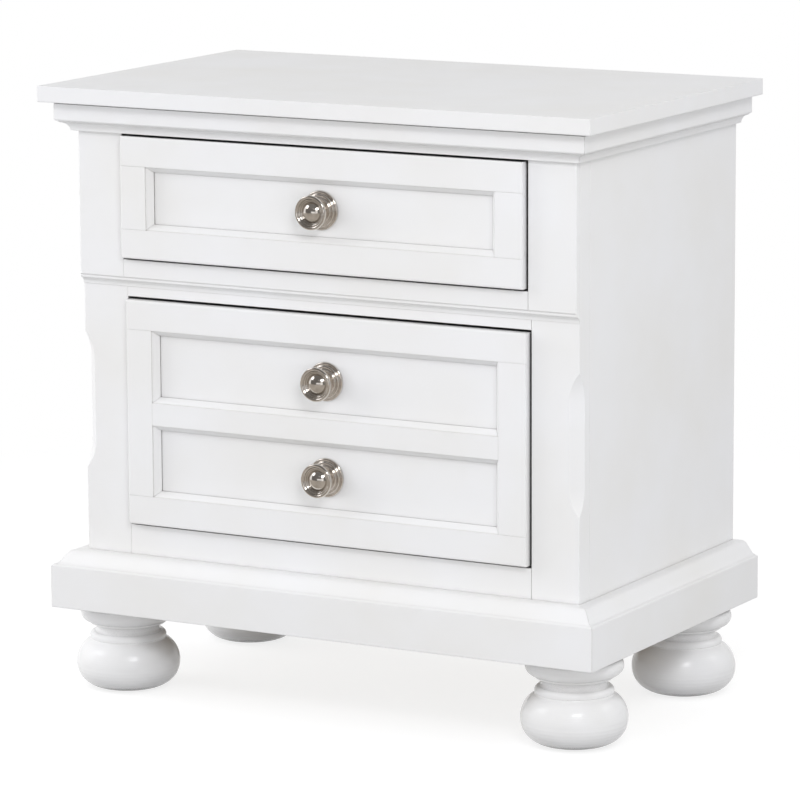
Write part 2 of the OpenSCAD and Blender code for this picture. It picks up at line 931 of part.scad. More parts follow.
// Tails of one drawer side end: roots at 0, tips at the given length, sides sloped 1 in 7
module tails(height, length, count, g, extra = 0) {
    pitch = height / count;
    for (i = [0:count - 1]) {
        z = pitch * (i + 0.5);
        tip = pitch * 0.36 + g;
        root = tip - length / 7;
        far = tip + extra / 7;
        polygon([
            [-1, z - root],
            [0, z - root],
            [length + extra, z - far],
            [length + extra, z + far],
            [0, z + root],
            [-1, z + root]]);
    }
}

// Drawer side with tails at both ends and a groove for the bottom
module box_side_piece(s, y0, z0, height, count) {
    y1 = y0 + slide_length;
    x_out = box_half;
    x_in = box_half - box_side;
    color(raw_wood)
        flip(s)
            difference() {
                union() {
                    along_y(y0 + box_front, y1 - box_side)
                        polygon(concat(
                            [[x_in, z0], [x_out, z0]],
                            arc(x_out - top_round, z0 + height - top_round, top_round, 0, 90, 5),
                            arc(x_in + top_round, z0 + height - top_round, top_round, 90, 180, 5)));
                    translate([0, 0, z0]) {
                        along_x(x_in, x_out)
                            translate([y0 + box_front, 0])
                                mirror([1, 0])
                                    tails(height, tail_length, count, 0);
                        along_x(x_in, x_out)
                            translate([y1 - box_side, 0])
                                tails(height, box_side, count, 0);
                    }
                }
                block([x_in - 1, y0 - 1, z0 + groove_height],
                    [x_in + groove_depth + joint_play, y1 + 1,
                        z0 + groove_height + box_bottom + joint_play]);
            }
}

// Inner drawer front with half blind sockets
module box_front_piece(y0, z0, height, count) {
    color(raw_wood)
        difference() {
            block([-box_half, y0, z0], [box_half, y0 + box_front, z0 + height]);
            for (s = [-1, 1]) {
                flip(s)
                    translate([0, 0, z0])
                        along_x(box_half - box_side - joint_play, box_half + 1)
                            translate([y0 + box_front, 0])
                                mirror([1, 0])
                                    tails(height, tail_length, count, joint_play, joint_play);
            }
            block([-box_half + box_side - groove_depth, y0 + box_front - groove_depth - joint_play,
                z0 + groove_height],
                [box_half - box_side + groove_depth, y0 + box_front + 1,
                    z0 + groove_height + box_bottom + joint_play]);
        }
}

// Drawer back with through sockets
module box_back_piece(y0, z0, height, count) {
    y1 = y0 + slide_length;
    color(raw_wood)
        difference() {
            block([-box_half, y1 - box_side, z0], [box_half, y1, z0 + height]);
            for (s = [-1, 1]) {
                flip(s)
                    translate([0, 0, z0])
                        along_x(box_half - box_side - joint_play, box_half + 1)
                            translate([y1 - box_side, 0])
                                tails(height, box_side, count, joint_play, 1);
            }
            block([-box_half + box_side - groove_depth, y1 - box_side - 1, z0 + groove_height],
                [box_half - box_side + groove_depth, y1 - box_side + groove_depth + joint_play,
                    z0 + groove_height + box_bottom + joint_play]);
        }
}

module box_bottom_piece(y0, z0) {
    y1 = y0 + slide_length;
    h = box_half - box_side + groove_depth;
    color(ply)
        block([-h, y0 + box_front - groove_depth, z0 + groove_height],
            [h, y1 - box_side + groove_depth, z0 + groove_height + box_bottom]);
}

module upper_box_front() {
    box_front_piece(upper_box_y, upper_box_z, upper_box_height, upper_tails);
}

module upper_box_left() {
    box_side_piece(-1, upper_box_y, upper_box_z, upper_box_height, upper_tails);
}

module upper_box_right() {
    box_side_piece(1, upper_box_y, upper_box_z, upper_box_height, upper_tails);
}

module upper_box_back() {
    box_back_piece(upper_box_y, upper_box_z, upper_box_height, upper_tails);
}

module upper_box_bottom() {
    box_bottom_piece(upper_box_y, upper_box_z);
}

module lower_box_front() {
    box_front_piece(lower_box_y, lower_box_z, lower_box_height, lower_tails);
}

module lower_box_left() {
    box_side_piece(-1, lower_box_y, lower_box_z, lower_box_height, lower_tails);
}

module lower_box_right() {
    box_side_piece(1, lower_box_y, lower_box_z, lower_box_height, lower_tails);
}

module lower_box_back() {
    box_back_piece(lower_box_y, lower_box_z, lower_box_height, lower_tails);
}

module lower_box_bottom() {
    box_bottom_piece(lower_box_y, lower_box_z);
}

// Turned knob: radius against distance from the drawer panel.
// A plate with three ridges, a thin neck, and a dished head with two rings round a dome
function knob_section() =
    let (k = knob_radius, p = plate_radius, head = knob_reach - 2.4)
    let (dome = k - 8.9, dome_rise = 4.8)
    let (dome_radius = (dome * dome + dome_rise * dome_rise) / (2 * dome_rise))
    concat(
        [[0, 0], [p, 0]],
        arc(p - 1.7, 0.9, 1.7, 0, 90, 5),
        [[p - 3, 2.4], [p - 3.7, 1.9]],
        arc(p - 5.4, 2.6, 1.7, 5, 100, 6),
        [[p - 7, 4], [p - 7.6, 3.5]],
        arc(p - 9, 4.3, 1.4, 5, 100, 5),
        [[p - 10.3, 5.4], [p - 10.9, 4.9]],
        wave(p - 11.4, 5.2, p - 16.4, 8.6, 5),
        [[p - 16.6, head - 8.4]],
        wave(p - 16.2, head - 7.4, k - 5.2, head - 3.4, 6),
        arc(k - 2.4, head, 2.4, -110, 158, 16),
        [[k - 4.9, head - 0.1]],
        arc(k - 6.6, head - 1.6, 1.6, 20, 155, 8),
        [[k - 8.5, head - 3.1]],
        arc(0, head + 1.6 - dome_radius, dome_radius, acos(dome / dome_radius), 90, 10));

module knob(y0, z0) {
    color(nickel)
        translate([0, y0 + stick_depth, z0])
            rotate([90, 0, 0])
                rotate_extrude($fn = 72)
                    polygon(knob_section());
}

module upper_knob() {
    knob(uf_y, (uf_z0 + uf_z1) / 2);
}

module lower_knobs() {
    knob(lf_y, (lf_z0 + frame_width + lf_mid - frame_middle / 2) / 2);
    knob(lf_y, (lf_z1 - frame_width + lf_mid + frame_middle / 2) / 2);
}

top_panel();
crown_front();
crown_left();
crown_right();
left_post();
right_post();
left_post_facing();
right_post_facing();
top_rail();
middle_rail();
bottom_rail();
left_side_panel();
right_side_panel();
back_panel();
back_top_rail();
bottom_panel();
slide_battens();
base_front();
base_left();
base_right();
base_back();
corner_blocks();
front_left_foot();
front_right_foot();
back_left_foot();
back_right_foot();
upper_cabinet_slides();
upper_middle_slides();
upper_drawer_slides();
upper_outer_cages();
upper_inner_cages();
lower_cabinet_slides();
lower_middle_slides();
lower_drawer_slides();
lower_outer_cages();
lower_inner_cages();
upper_front_top_rail();
upper_front_bottom_rail();
upper_front_left_stile();
upper_front_right_stile();
upper_front_panel();
upper_box_front();
upper_box_left();
upper_box_right();
upper_box_back();
upper_box_bottom();
upper_knob();
lower_front_top_rail();
lower_front_middle_rail();
lower_front_bottom_rail();
lower_front_left_stile();
lower_front_right_stile();
lower_front_panels();
lower_box_front();
lower_box_left();
lower_box_right();
lower_box_back();
lower_box_bottom();
lower_knobs();
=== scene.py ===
import json
import math

import bmesh
import bpy
import numpy as np
from mathutils import Matrix, Vector

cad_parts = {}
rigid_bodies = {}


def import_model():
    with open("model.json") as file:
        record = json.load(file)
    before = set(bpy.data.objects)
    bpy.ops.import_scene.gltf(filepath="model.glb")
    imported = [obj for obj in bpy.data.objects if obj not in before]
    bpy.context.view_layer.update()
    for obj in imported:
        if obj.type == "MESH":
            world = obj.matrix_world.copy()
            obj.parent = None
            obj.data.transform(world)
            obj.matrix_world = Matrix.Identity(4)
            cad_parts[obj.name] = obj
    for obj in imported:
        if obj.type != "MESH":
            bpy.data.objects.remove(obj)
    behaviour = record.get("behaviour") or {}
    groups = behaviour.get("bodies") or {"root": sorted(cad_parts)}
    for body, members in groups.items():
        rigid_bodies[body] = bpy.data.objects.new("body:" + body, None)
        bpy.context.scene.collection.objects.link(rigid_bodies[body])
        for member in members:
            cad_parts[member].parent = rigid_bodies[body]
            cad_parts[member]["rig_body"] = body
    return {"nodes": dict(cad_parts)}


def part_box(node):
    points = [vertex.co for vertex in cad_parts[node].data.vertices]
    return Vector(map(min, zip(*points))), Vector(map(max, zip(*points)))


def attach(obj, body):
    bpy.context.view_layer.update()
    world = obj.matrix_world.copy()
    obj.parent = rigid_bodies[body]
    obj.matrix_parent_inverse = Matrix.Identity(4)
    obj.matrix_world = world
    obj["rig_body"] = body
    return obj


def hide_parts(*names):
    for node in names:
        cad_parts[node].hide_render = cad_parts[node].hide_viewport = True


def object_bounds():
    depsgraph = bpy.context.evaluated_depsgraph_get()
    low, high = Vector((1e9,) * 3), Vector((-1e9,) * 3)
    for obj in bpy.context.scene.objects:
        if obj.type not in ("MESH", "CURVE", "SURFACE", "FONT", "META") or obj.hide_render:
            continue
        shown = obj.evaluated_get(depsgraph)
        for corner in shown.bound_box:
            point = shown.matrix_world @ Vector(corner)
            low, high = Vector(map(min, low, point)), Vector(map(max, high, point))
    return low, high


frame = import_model()
cadBox = [list(corner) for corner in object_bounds()]
lowCorner = Vector(cadBox[0])
highCorner = Vector(cadBox[1])
middle = (lowCorner + highCorner) / 2
print("frame loaded:", len(frame["nodes"]), "nodes")


def newPiece(name, points, faces, material, body):
    # a finished mesh whose place is in its points, riding on a body
    mesh = bpy.data.meshes.new(name)
    mesh.from_pydata(points.tolist(), [], [list(face) for face in faces])
    mesh.materials.append(material)
    mesh.polygons.foreach_set("use_smooth", np.ones(len(mesh.polygons), bool))
    mesh.update()
    piece = bpy.data.objects.new(name, mesh)
    bpy.context.scene.collection.objects.link(piece)
    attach(piece, body)
    return piece


def bodyOf(node):
    return frame["nodes"][node]["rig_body"]


def linearColour(hexText):
    # sRGB hex to linear: a straight part near black, a 2.4 power above it
    parts = [int(hexText[i:i + 2], 16) / 255 for i in (1, 3, 5)]
    return tuple(p / 12.92 if p <= 0.04045 else ((p + 0.055) / 1.055) ** 2.4 for p in parts) + (1,)


def addNode(tree, kind, settings=None, links=None):
    # settings are the node's own attributes, with "stops" for the hex colours along a ramp;
    # links go from a socket's name or number to a value or to a (node, output) pair
    node = tree.nodes.new(kind)
    for key, value in (settings or {}).items():
        if key == "stops":
            ramp = node.color_ramp.elements
            for place, colour in value[1:-1]:
                ramp.new(place)
            for element, (place, colour) in zip(ramp, value):
                element.position = place
                element.color = linearColour(colour)
        else:
            setattr(node, key, value)
    for socket, source in (links or {}).items():
        target = node.inputs[socket]
        if isinstance(source, tuple) and isinstance(source[0], bpy.types.Node):
            tree.links.new(source[0].outputs[source[1]], target)
        else:
            target.default_value = source
    return node


def newMaterial(name):
    material = bpy.data.materials.new(name)
    material.use_nodes = True
    tree = material.node_tree
    tree.nodes.clear()
    output = addNode(tree, "ShaderNodeOutputMaterial")
    return material, tree, output


def edgeMask(tree, rounded):
    # 0 on the flats and towards 1 on the arrises: how far the rounded normal leans from the true one
    true = addNode(tree, "ShaderNodeNewGeometry")
    lean = addNode(tree, "ShaderNodeVectorMath", {"operation": "DOT_PRODUCT"},
                   {0: (rounded, "Normal"), 1: (true, "Normal")})
    return addNode(tree, "ShaderNodeMapRange", links={
        0: (lean, "Value"), 1: 0.75, 2: 0.995, 3: 1.0, 4: 0.0})


paintFinish = {
    "coat": "#EFEFF0",         # the white as it is sprayed
    "coatWarm": "#EBEAE8",     # where the coat is a little thinner over the primer
    "wornAndHighlit": "#F6F5F2",         # arrises lighter: rubbed by the last sanding, and a painted highlight
    "dustAndShade": "#A8A19A",        # dust held in the inner corners, and painted shade there
    "gapShadeTone": "#2B2622",         # painted shade deep inside the gaps, almost black
    "patchSize": 0.16,         # metres across one patch of thicker coat
    "peelSize": 0.004,         # metres: real orange peel is 1 to 2 mm, drawn coarser to show
    "peelDepth": 0.0004,
    "sheenScale": 22.0,        # cloudings of the gloss per metre
    "arris": 0.0008,           # metres: how wide the rounded arrises look, rubbed and with their painted highlight
    "dustAndShadeReach": 0.0018,      # metres from the inner corner that the dust and painted shade reach
    "gapReach": 0.012,         # metres looked around for near walls, where deep gaps get painted shade
}


def sprayedLacquer(name, roughness, peel):
    # White catalysed lacquer sprayed on sanded wood: an even satin white with a faint orange
    # peel, patches a shade warmer, lighter arrises (wear and a painted highlight), inner corners darkened
    # (dust and painted shade) and painted shade, nearly black, deep in the gaps.
    finish = paintFinish
    material, tree, output = newMaterial(name)
    place = addNode(tree, "ShaderNodeTexCoord")
    patches = addNode(tree, "ShaderNodeTexNoise", links={
        "Vector": (place, "Object"), "Scale": 1 / finish["patchSize"], "Detail": 3.0, "Roughness": 0.55})
    tone = addNode(tree, "ShaderNodeValToRGB", {"stops": [
        (0.35, finish["coat"]), (0.75, finish["coatWarm"])]}, {"Fac": (patches, "Fac")})
    rounded = addNode(tree, "ShaderNodeBevel", {"samples": 4}, {"Radius": finish["arris"]})
    # the arrises are made lighter: partly wear, partly a painted highlight
    rubbedAndHighlit = addNode(tree, "ShaderNodeMix", {"data_type": "RGBA"}, {
        0: (edgeMask(tree, rounded), "Result"), 6: (tone, "Color"), 7: linearColour(finish["wornAndHighlit"])})
    # inner corners darkened by ambient occlusion: dust and painted shade
    hollow = addNode(tree, "ShaderNodeAmbientOcclusion", {"samples": 4}, {"Distance": finish["dustAndShadeReach"]})
    cornerDustShade = addNode(tree, "ShaderNodeMapRange", links={
        0: (hollow, "AO"), 1: 0.1, 2: 0.8, 3: 0.6, 4: 0.0})
    cornerDustShaded = addNode(tree, "ShaderNodeMix", {"data_type": "RGBA"}, {
        0: (cornerDustShade, "Result"), 6: (rubbedAndHighlit, 2), 7: linearColour(finish["dustAndShade"])})
    # painted shade: where ambient occlusion finds deep gaps, the colour turns nearly black
    depth = addNode(tree, "ShaderNodeAmbientOcclusion", {"samples": 6}, {"Distance": finish["gapReach"]})
    gapShadeMask = addNode(tree, "ShaderNodeMapRange", links={
        0: (depth, "AO"), 1: 0.2, 2: 0.42, 3: 0.95, 4: 0.0})
    gapShaded = addNode(tree, "ShaderNodeMix", {"data_type": "RGBA"}, {
        0: (gapShadeMask, "Result"), 6: (cornerDustShaded, 2), 7: linearColour(finish["gapShadeTone"])})
    orangePeel = addNode(tree, "ShaderNodeTexNoise", links={
        "Vector": (place, "Object"), "Scale": 1 / finish["peelSize"], "Detail": 2.0})
    bump = addNode(tree, "ShaderNodeBump", links={
        "Strength": peel, "Distance": finish["peelDepth"], "Height": (orangePeel, "Fac"),
        "Normal": (rounded, "Normal")})
    sheen = addNode(tree, "ShaderNodeTexNoise", links={
        "Vector": (place, "Object"), "Scale": finish["sheenScale"], "Detail": 4.0})
    gloss = addNode(tree, "ShaderNodeMapRange", links={
        0: (sheen, "Fac"), 1: 0.0, 2: 1.0, 3: roughness - 0.04, 4: roughness + 0.06})
    shader = addNode(tree, "ShaderNodeBsdfPrincipled", links={
        "Base Color": (gapShaded, 2), "Roughness": (gloss, "Result"), "IOR": 1.48,
        "Normal": (bump, "Normal")})
    tree.links.new(shader.outputs["BSDF"], output.inputs["Surface"])
    return material


woodFinish = {
    "early": "#DDC29A",        # pale spring wood of rubberwood under clear lacquer
    "late": "#C39F70",         # the darker line that closes each year
    "pore": "#9C7A52",
    "ringWidth": 0.007,        # metres between the year lines
    "pith": (0.055, 0.09, 0),  # how far the boards were sawn from the middle of the log
    "poreLength": 0.012,
    "poreDepth": 0.0003,
    "wander": 0.030,           # metres that the year lines stray sideways
    "arris": 0.0006,
}
grainTurns = {0: (0, math.pi / 2, 0), 1: (math.pi / 2, 0, 0), 2: (0, 0, 0)}


def clearWood(name, axis, finish=woodFinish, roughness=0.42):
    # Solid rubberwood with a thin clear lacquer: the year rings are shells around a pith that
    # lies off the board, so long faces show lines, and end faces show arcs, with short dark pores.
    material, tree, output = newMaterial(name)
    place = addNode(tree, "ShaderNodeTexCoord")
    turned = addNode(tree, "ShaderNodeMapping", links={
        "Vector": (place, "Object"), "Rotation": grainTurns[axis]})
    stretched = addNode(tree, "ShaderNodeMapping", links={
        "Vector": (turned, "Vector"), "Scale": (9, 9, 1.1)})
    wander = addNode(tree, "ShaderNodeTexNoise", links={
        "Vector": (stretched, "Vector"), "Scale": 1.6, "Detail": 3.0})
    drift = addNode(tree, "ShaderNodeVectorMath", {"operation": "SCALE"}, {
        0: (wander, "Color"), "Scale": finish["wander"]})
    bent = addNode(tree, "ShaderNodeVectorMath", {"operation": "ADD"}, {
        0: (turned, "Vector"), 1: (drift, "Vector")})
    offPith = addNode(tree, "ShaderNodeVectorMath", {"operation": "ADD"}, {
        0: (bent, "Vector"), 1: finish["pith"]})
    flat = addNode(tree, "ShaderNodeVectorMath", {"operation": "MULTIPLY"}, {
        0: (offPith, "Vector"), 1: (1, 1, 0.03)})
    reach = addNode(tree, "ShaderNodeVectorMath", {"operation": "LENGTH"}, {0: (flat, "Vector")})
    years = addNode(tree, "ShaderNodeMath", {"operation": "DIVIDE"}, {
        0: (reach, "Value"), 1: finish["ringWidth"]})
    year = addNode(tree, "ShaderNodeMath", {"operation": "FRACT"}, {0: (years, "Value")})
    growth = addNode(tree, "ShaderNodeValToRGB", {"stops": [
        (0.0, finish["early"]), (0.62, finish["early"]), (0.9, finish["late"]), (1.0, finish["early"])]},
        {"Fac": (year, "Value")})
    threads = addNode(tree, "ShaderNodeMapping", links={
        "Vector": (turned, "Vector"), "Scale": (1100, 1100, 1 / finish["poreLength"])})
    pores = addNode(tree, "ShaderNodeTexNoise", links={
        "Vector": (threads, "Vector"), "Scale": 1.0, "Detail": 1.0})
    poreMask = addNode(tree, "ShaderNodeMapRange", links={
        0: (pores, "Fac"), 1: 0.60, 2: 0.74, 3: 0.0, 4: 0.55})
    colour = addNode(tree, "ShaderNodeMix", {"data_type": "RGBA"}, {
        0: (poreMask, "Result"), 6: (growth, "Color"), 7: linearColour(finish["pore"])})
    rounded = addNode(tree, "ShaderNodeBevel", {"samples": 4}, {"Radius": finish["arris"]})
    bump = addNode(tree, "ShaderNodeBump", {"invert": True}, {
        "Strength": 0.35, "Distance": finish["poreDepth"], "Height": (poreMask, "Result"),
        "Normal": (rounded, "Normal")})
    gloss = addNode(tree, "ShaderNodeMapRange", links={
        0: (year, "Value"), 1: 0.0, 2: 1.0, 3: roughness, 4: roughness + 0.1})
    shader = addNode(tree, "ShaderNodeBsdfPrincipled", links={
        "Base Color": (colour, 2), "Roughness": (gloss, "Result"), "IOR": 1.5, "Normal": (bump, "Normal")})
    tree.links.new(shader.outputs["BSDF"], output.inputs["Surface"])
    return material


# peeled birch is paler, and its year lines run wide apart
plyFinish = dict(woodFinish, early="#E4D2B1", late="#D2B98F", pore="#B79A70", ringWidth=0.019,
                 pith=(0.02, 0.35, 0))

zincFinish = {
    "light": "#C9CCCE",
    "dark": "#9DA3A7",
    "grain": 0.009,            # metres across one spangle
    "streak": 0.0006,          # metres between rolling lines
    "streakDepth": 0.0002,
    "arris": 0.0003,
}


def zincPlatedSteel(name):
    # Cold-rolled steel strip, bright zinc plated: a cold grey metal, rolling lines along the
    # slide and faint patches where the plating took differently.
    material, tree, output = newMaterial(name)
    place = addNode(tree, "ShaderNodeTexCoord")
    spangle = addNode(tree, "ShaderNodeTexVoronoi", links={
        "Vector": (place, "Object"), "Scale": 1 / zincFinish["grain"]})
    tone = addNode(tree, "ShaderNodeValToRGB", {"stops": [
        (0.0, zincFinish["light"]), (1.0, zincFinish["dark"])]}, {"Fac": (spangle, "Distance")})
    along = addNode(tree, "ShaderNodeMapping", links={
        "Vector": (place, "Object"), "Scale": (1 / zincFinish["streak"], 6, 1 / zincFinish["streak"])})
    rolling = addNode(tree, "ShaderNodeTexNoise", links={
        "Vector": (along, "Vector"), "Scale": 1.0, "Detail": 2.0})
    rounded = addNode(tree, "ShaderNodeBevel", {"samples": 4}, {"Radius": zincFinish["arris"]})
    bump = addNode(tree, "ShaderNodeBump", links={
        "Strength": 0.15, "Distance": zincFinish["streakDepth"], "Height": (rolling, "Fac"),
        "Normal": (rounded, "Normal")})
    gloss = addNode(tree, "ShaderNodeMapRange", links={
        0: (rolling, "Fac"), 1: 0.0, 2: 1.0, 3: 0.26, 4: 0.42})
    shader = addNode(tree, "ShaderNodeBsdfPrincipled", links={
        "Base Color": (tone, "Color"), "Metallic": 1.0, "Roughness": (gloss, "Result"),
        "Normal": (bump, "Normal")})
    tree.links.new(shader.outputs["BSDF"], output.inputs["Surface"])
    return material


nickelFinish = {
    "bright": "#E6E0DA",
    "shade": "#CCC6BE",        # cloudier polish here and there
    "tarnishAndShade": "#3F3A34",      # dark film left in the grooves by the polishing, with painted shade in the hollows
    "turning": 0.0007,         # metres across the marks of turning, real ones are about 0.2 mm
    "turningDepth": 0.0002,
    "cloudScale": 140.0,       # clouds in the polish per metre
    "tarnishAndShadeReach": 0.008,        # metres looked around for walls; near ones bring the film and painted shade
}


def polishedNickel(name):
    # Turned brass, nickel plated and polished: a warm grey metal that mirrors the room, with
    # faint marks of turning under the plating, and a dark film in the grooves and on the neck that is
    # partly tarnish and partly painted shade.
    material, tree, output = newMaterial(name)
    place = addNode(tree, "ShaderNodeTexCoord")
    cloud = addNode(tree, "ShaderNodeTexNoise", links={
        "Vector": (place, "Object"), "Scale": nickelFinish["cloudScale"], "Detail": 3.0})
    tone = addNode(tree, "ShaderNodeValToRGB", {"stops": [
        (0.3, nickelFinish["bright"]), (0.8, nickelFinish["shade"])]}, {"Fac": (cloud, "Fac")})
    # grooves and neck darkened by ambient occlusion: tarnish and painted shade
    hollow = addNode(tree, "ShaderNodeAmbientOcclusion", {"samples": 6}, {
        "Distance": nickelFinish["tarnishAndShadeReach"]})
    tarnishAndShadeMask = addNode(tree, "ShaderNodeMapRange", links={
        0: (hollow, "AO"), 1: 0.12, 2: 0.42, 3: 0.9, 4: 0.0})
    colour = addNode(tree, "ShaderNodeMix", {"data_type": "RGBA"}, {
        0: (tarnishAndShadeMask, "Result"), 6: (tone, "Color"), 7: linearColour(nickelFinish["tarnishAndShade"])})
    lathe = addNode(tree, "ShaderNodeTexNoise", links={
        "Vector": (place, "Object"), "Scale": 1 / nickelFinish["turning"], "Detail": 1.0})
    bump = addNode(tree, "ShaderNodeBump", links={
        "Strength": 0.04, "Distance": nickelFinish["turningDepth"], "Height": (lathe, "Fac")})
    gloss = addNode(tree, "ShaderNodeMapRange", links={
        0: (cloud, "Fac"), 1: 0.0, 2: 1.0, 3: 0.05, 4: 0.14})
    shader = addNode(tree, "ShaderNodeBsdfPrincipled", links={
        "Base Color": (colour, 2), "Metallic": 1.0, "Roughness": (gloss, "Result"),
        "Normal": (bump, "Normal")})
    tree.links.new(shader.outputs["BSDF"], output.inputs["Surface"])
    return material


finishes = {
    "case_paint": sprayedLacquer("white_satin_lacquer", 0.36, 0.10),
    "top_paint": sprayedLacquer("white_satin_lacquer_top", 0.33, 0.12),
    "foot_paint": sprayedLacquer("white_gloss_lacquer_turned", 0.22, 0.03),
    "zinc_steel": zincPlatedSteel("zinc_plated_steel"),
    "knob_nickel": polishedNickel("polished_nickel"),
}
woods = {axis: clearWood("clear_rubberwood_" + "xyz"[axis], axis) for axis in range(3)}
plywoods = {axis: clearWood("birch_plywood_" + "xyz"[axis], axis, plyFinish, 0.5) for axis in range(3)}


def finishFor(node):
    # the finish of a node's slot; wood runs along the node's longest side
    slotName = frame["nodes"][node].material_slots[0].name
    if slotName in finishes:
        return slotName, finishes[slotName]
    low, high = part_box(node)
    side = high - low
    axis = max(range(3), key=lambda i: side[i])
    return slotName, (woods if slotName == "bare_wood" else plywoods)[axis]


for nodeName, nodeObject in frame["nodes"].items():
    nodeObject.material_slots[0].material = finishFor(nodeName)[1]
print("finishes made")


easing = {
    "width": 0.00045,          # metres taken off each arris by the sander
    "openWidth": 0.0009,       # and off the back arris of the post facings, where a seam shows
    "segments": 2,
    "sharpAngle": math.radians(28),
    "flatAngle": math.radians(0.4),
    "mitreNear": 0.0002,       # metres off the mitre's plane that still count as on it
    "backNear": 0.0009,
}
mitred = {"crown_front": max, "base_front": max, "crown_left": min, "crown_right": min,
          "base_left": min, "base_right": min}


def easingWeights(node, shell):
    # How much of the widest easing each edge gets. The glued mitres stay crisp: they lie where
    # |x| + y is at its limit for the board.
    sums = [abs(vert.co.x) + vert.co.y for vert in shell.verts]
    mitre = mitred[node](sums) if node in mitred else None
    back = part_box(node)[1].y if node.endswith("_facing") else None
    weights = shell.edges.layers.float.new("bevel_weight_edge")
    for edge in shell.edges:
        sharp = edge.calc_face_angle(0) >= easing["sharpAngle"]
        edge.smooth = not sharp
        ends = [vert.co for vert in edge.verts]
        glued = mitre is not None and all(
            abs(abs(p.x) + p.y - mitre) < easing["mitreNear"] for p in ends)
        if glued or not sharp:
            continue
        seam = back is not None and all(abs(p.y - back) < easing["backNear"] for p in ends)
        edge[weights] = 1.0 if seam else easing["width"] / easing["openWidth"]


def easedCopy(node):
    # The node's triangles with doubles merged and flat parts joined, then each sharp arris
    # rounded by the Bevel modifier, so two boards meet in a hairline groove.
    source = frame["nodes"][node].data
    corners = np.zeros(len(source.vertices) * 3)
    source.vertices.foreach_get("co", corners)
    loops = np.zeros(len(source.loops), int)
    source.loops.foreach_get("vertex_index", loops)
    points, index = np.unique(np.round(corners.reshape(-1, 3), 6), axis=0, return_inverse=True)
    triangles = index.reshape(-1)[loops].reshape(-1, 3)
    distinct = ((triangles[:, 0] != triangles[:, 1]) & (triangles[:, 1] != triangles[:, 2])
                & (triangles[:, 2] != triangles[:, 0]))
    slotName, material = finishFor(node)
    piece = newPiece(node + "_eased", points, triangles[distinct], material, bodyOf(node))
    shell = bmesh.new()
    shell.from_mesh(piece.data)
    bmesh.ops.dissolve_limit(shell, angle_limit=easing["flatAngle"], verts=shell.verts, edges=shell.edges)
    easingWeights(node, shell)
    shell.to_mesh(piece.data)
    shell.free()
    bevel = piece.modifiers.new("eased", "BEVEL")
    bevel.width = easing["openWidth"]
    bevel.segments = easing["segments"]
    bevel.limit_method = "WEIGHT"
    bevel.use_clamp_overlap = False
    bevel.harden_normals = True
    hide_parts(node)


easedSlots = ("case_paint", "top_paint")
for nodeName in sorted(frame["nodes"]):
    if finishFor(nodeName)[0] in easedSlots:
        easedCopy(nodeName)
print("painted boards eased")


def polarFaces(rows, around):
    # faces of a round shell: a tip, then rows of points from the tip outwards, then a closing point
    ring = 1 + np.arange(rows)[:, None] * around + np.arange(around)[None, :]
    after = np.roll(ring, -1, axis=1)
    quads = np.stack((ring[:-1], ring[1:], after[1:], after[:-1]), 2).reshape(-1, 4)
    tip = np.stack((np.zeros(around, int), ring[0], after[0]), 1)
    end = np.stack((np.full(around, 1 + rows * around), after[-1], ring[-1]), 1)
    return quads.tolist() + tip.tolist() + end.tolist()


def placedCopies(name, local, faces, places, towards, material, body):
    # the same shell at each place, its own z axis turned to point the given way
    turned = np.array(Vector(towards).to_track_quat("Z", "Y").to_matrix())
    points = (local @ turned.T)[None] + np.array(places)[:, None]
    shifts = np.arange(len(places)) * len(local)
    every = [[corner + shift for corner in face] for shift in shifts for face in faces]
    return newPiece(name, points.reshape(-1, 3), every, material, body)


screws = {
    "rings": 9,
    "around": 24,
    "cross": 0.17,             # half width of the cross recess, as a share of the head's radius
    "crossFade": 0.06,
    "crossDepth": 0.55,        # as a share of the head's height
    "arm": 0.62,               # reach of its arms, as a share of the head's radius
    "armFade": 0.12,
    "sunk": 0.0003,            # metres of the head below the surface it is driven against
    "boltHead": (0.0052, 0.0024),  # radius and height of each kind of head, in metres
    "frontHead": (0.0040, 0.0016),
    "slideHead": (0.0036, 0.0014),
    "backHead": (0.0036, 0.0007),
    "blockHead": (0.0044, 0.0012),
    "frontSpread": 0.74,       # where the front screws stand, as a share of the half width
    "slideSheet": 0.0012,      # thickness of the member the slide screws go through
    "backInset": 0.012,        # metres in from the edges of the back panel, at its sides
    "backTopInset": 0.03,      # and at its top and bottom
    "blockSize": 0.096,
    "blockInset": 0.014,
}


def screwHeads(name, places, towards, size, body):
    # Round heads with a cross recess on a polar grid. With q the distance from the middle over
    # the radius, a head rises height * (1 - q^3)^(1/3), and the cross takes a smooth share of
    # that away where the smaller of |u|, |v| is under its half width and the larger within its arm.
    radius, height = size
    q = np.concatenate(([0.0], np.linspace(0.08, 1, screws["rings"]) ** 0.9))
    turn = np.arange(screws["around"]) * 2 * np.pi / screws["around"]
    u, v = (q[1:, None] * f(turn)[None, :] for f in (np.cos, np.sin))
    near, far = np.minimum(abs(u), abs(v)), np.maximum(abs(u), abs(v))
    dome = np.cbrt(np.clip(1 - q[1:, None] ** 3, 0, 1)) * np.ones_like(u)
    recess = (np.clip((screws["cross"] - near) / screws["crossFade"], 0, 1)
              * np.clip((screws["arm"] - far) / screws["armFade"], 0, 1))
    rise = height * (dome - screws["crossDepth"] * recess)
    flat = np.stack((u * radius, v * radius, rise), 2).reshape(-1, 3)
    tip = [[0, 0, height * (1 - screws["crossDepth"])]]
    local = np.vstack((tip, flat, flat[-screws["around"]:] * (1, 1, 0), [[0, 0, 0]]))
    local[-screws["around"] - 1:, 2] = -screws["sunk"]
    placedCopies(name, local, polarFaces(screws["rings"] + 1, screws["around"]), places, towards,
                 finishes["zinc_steel"], body)


